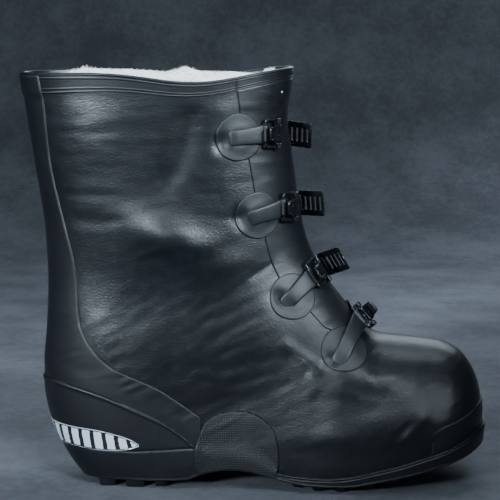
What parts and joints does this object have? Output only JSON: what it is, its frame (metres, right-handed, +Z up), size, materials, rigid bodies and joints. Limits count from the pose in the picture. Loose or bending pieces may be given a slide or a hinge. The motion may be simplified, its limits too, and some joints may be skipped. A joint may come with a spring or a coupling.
{
  "type": "rubber overshoe",
  "caption": "Right-foot winter rubber overshoe with clasp fastening, fleece lining, heel cup and lugged sole, standing open and empty.",
  "frame": {"origin": "on the floor under the middle of the heel, at the heel's middle lug", "axes": "+X to the toe, +Y to the inner (medial) side, +Z up; the sole stands on Z = 0"},
  "size_m": [0.3654, 0.1289, 0.3254],
  "materials": {
    "rubber": "satin, fine leather-like grain",
    "sole_rubber": "matt, moulded",
    "gusset_rubber": "matt, thin",
    "steel": "black, glossy",
    "lens": "reflective, prismatic",
    "felt": "fleece felt"
  },
  "bodies": {
    "boot": {"arch_grip_lateral": "rubber", "arch_grip_medial": "rubber", "clasp_frame_1": "steel", "clasp_frame_2": "steel", "clasp_frame_3": "steel", "clasp_frame_4": "steel", "clasp_lever_4": "steel", "clasp_patch_1": "rubber", "clasp_patch_2": "rubber", "clasp_patch_3": "rubber", "clasp_patch_4": "rubber", "clasp_strap_1": "rubber", "clasp_strap_2": "rubber", "clasp_strap_3": "rubber", "clasp_strap_4": "rubber", "collar_band": "rubber", "gusset": "gusset_rubber", "heel_counter": "rubber", "heel_reflector": "lens", "insole": "felt", "ladder_patch_1": "rubber", "ladder_patch_2": "rubber", "ladder_patch_3": "rubber", "ladder_patch_4": "rubber", "ladder_plate_1": "steel", "ladder_plate_2": "steel", "ladder_plate_3": "steel", "ladder_plate_4": "steel", "ladder_strap_1": "rubber", "ladder_strap_2": "rubber", "ladder_strap_3": "rubber", "ladder_strap_4": "rubber", "outsole": "sole_rubber", "toe_guard": "rubber", "upper": "rubber"},
    "lever_1": {"clasp_lever_1": "steel"},
    "lever_2": {"clasp_lever_2": "steel"},
    "lever_3": {"clasp_lever_3": "steel"}
  },
  "joints": [
    {"name": "lever_1_hinge", "type": "hinge", "parent": "boot", "child": "lever_1", "pos_m": [0.10979, -0.03284, 0.27657], "axis": [-0.0163, 0.0477, 0.9987], "range_deg": [-14, 95]},
    {"name": "lever_2_hinge", "type": "hinge", "parent": "boot", "child": "lever_2", "pos_m": [0.12305, -0.02598, 0.21987], "axis": [-0.0138, 0.0091, 0.9999], "range_deg": [-10, 95]},
    {"name": "lever_3_hinge", "type": "hinge", "parent": "boot", "child": "lever_3", "pos_m": [0.14378, -0.02052, 0.17081], "axis": [-0.5267, 0.0399, 0.8491], "range_deg": [-12, 95]}
  ]
}
